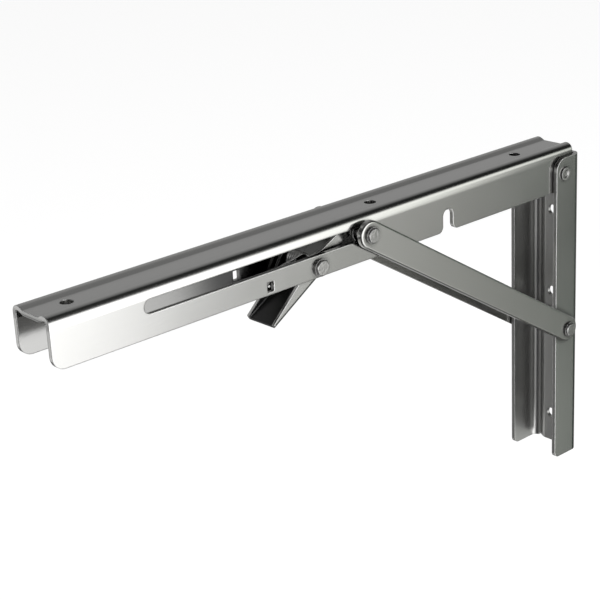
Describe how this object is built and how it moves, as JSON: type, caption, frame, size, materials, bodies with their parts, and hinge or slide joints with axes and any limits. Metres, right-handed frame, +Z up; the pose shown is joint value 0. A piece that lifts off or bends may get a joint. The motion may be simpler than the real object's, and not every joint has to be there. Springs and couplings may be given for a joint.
{
  "type": "folding shelf bracket",
  "caption": "Folding shelf bracket of bent steel sheet: a wall channel, a hinged arm, struts that slide in the arm's slot, and a sprung latch lever that locks it open.",
  "frame": {"origin": "The middle wall screw hole, on its axis, at the back of the wall channel's pressed web.", "axes": "+X out from the wall along the open arm, +Y towards the side with the spring's hooked end, +Z up."},
  "size_m": [0.309, 0.0382, 0.163],
  "materials": {
    "sheet": "polished stainless steel sheet with faint rolling lines",
    "fastener": "turned stainless steel",
    "spring_wire": "drawn stainless spring wire"
  },
  "bodies": {
    "wall": {"wall_channel": "sheet", "arm_pivot_rivet_near": "fastener", "arm_pivot_rivet_far": "fastener", "strut_foot_pin": "fastener"},
    "arm": {"arm_channel": "sheet", "latch_pivot_pin": "fastener", "latch_spacer_near": "fastener", "latch_spacer_far": "fastener", "latch_spring": "spring_wire"},
    "struts": {"strut_near": "sheet", "strut_far": "sheet", "strut_head_rivet_near": "fastener", "strut_head_rivet_far": "fastener"},
    "slide": {"slide_stud_near": "fastener", "slide_stud_far": "fastener", "slide_washer_inner_near": "fastener", "slide_washer_outer_near": "fastener", "slide_washer_inner_far": "fastener", "slide_washer_outer_far": "fastener"},
    "latch": {"latch_lever": "sheet"}
  },
  "joints": [
    {"name": "arm_fold", "type": "hinge", "parent": "wall", "child": "arm", "pos_m": [0.01026, 0, 0.066], "axis": [0, 1, 0], "range_deg": [0, 90]},
    {"name": "strut_fold", "type": "hinge", "parent": "wall", "child": "struts", "pos_m": [0.00966, 0, -0.0141], "axis": [0, 1, 0], "range_deg": [0, 120.34]},
    {"name": "pin_slide", "type": "slide", "parent": "arm", "child": "slide", "axis": [1, 0, 0], "range_m": [0, 0.10483]},
    {"name": "latch_press", "type": "hinge", "parent": "arm", "child": "latch", "pos_m": [0.17041, 0, 0.0615], "axis": [0, -1, 0], "range_deg": [0, 30.01], "deforming": ["latch_spring"]}
  ],
  "couplings": [
    {"joint": "strut_fold", "follows": "arm_fold", "ratio": 1.337},
    {"joint": "pin_slide", "follows": "arm_fold", "m_per_rad": 0.066732},
    {"joint": "latch_press", "follows": "arm_fold", "ratio": 0.33333}
  ]
}
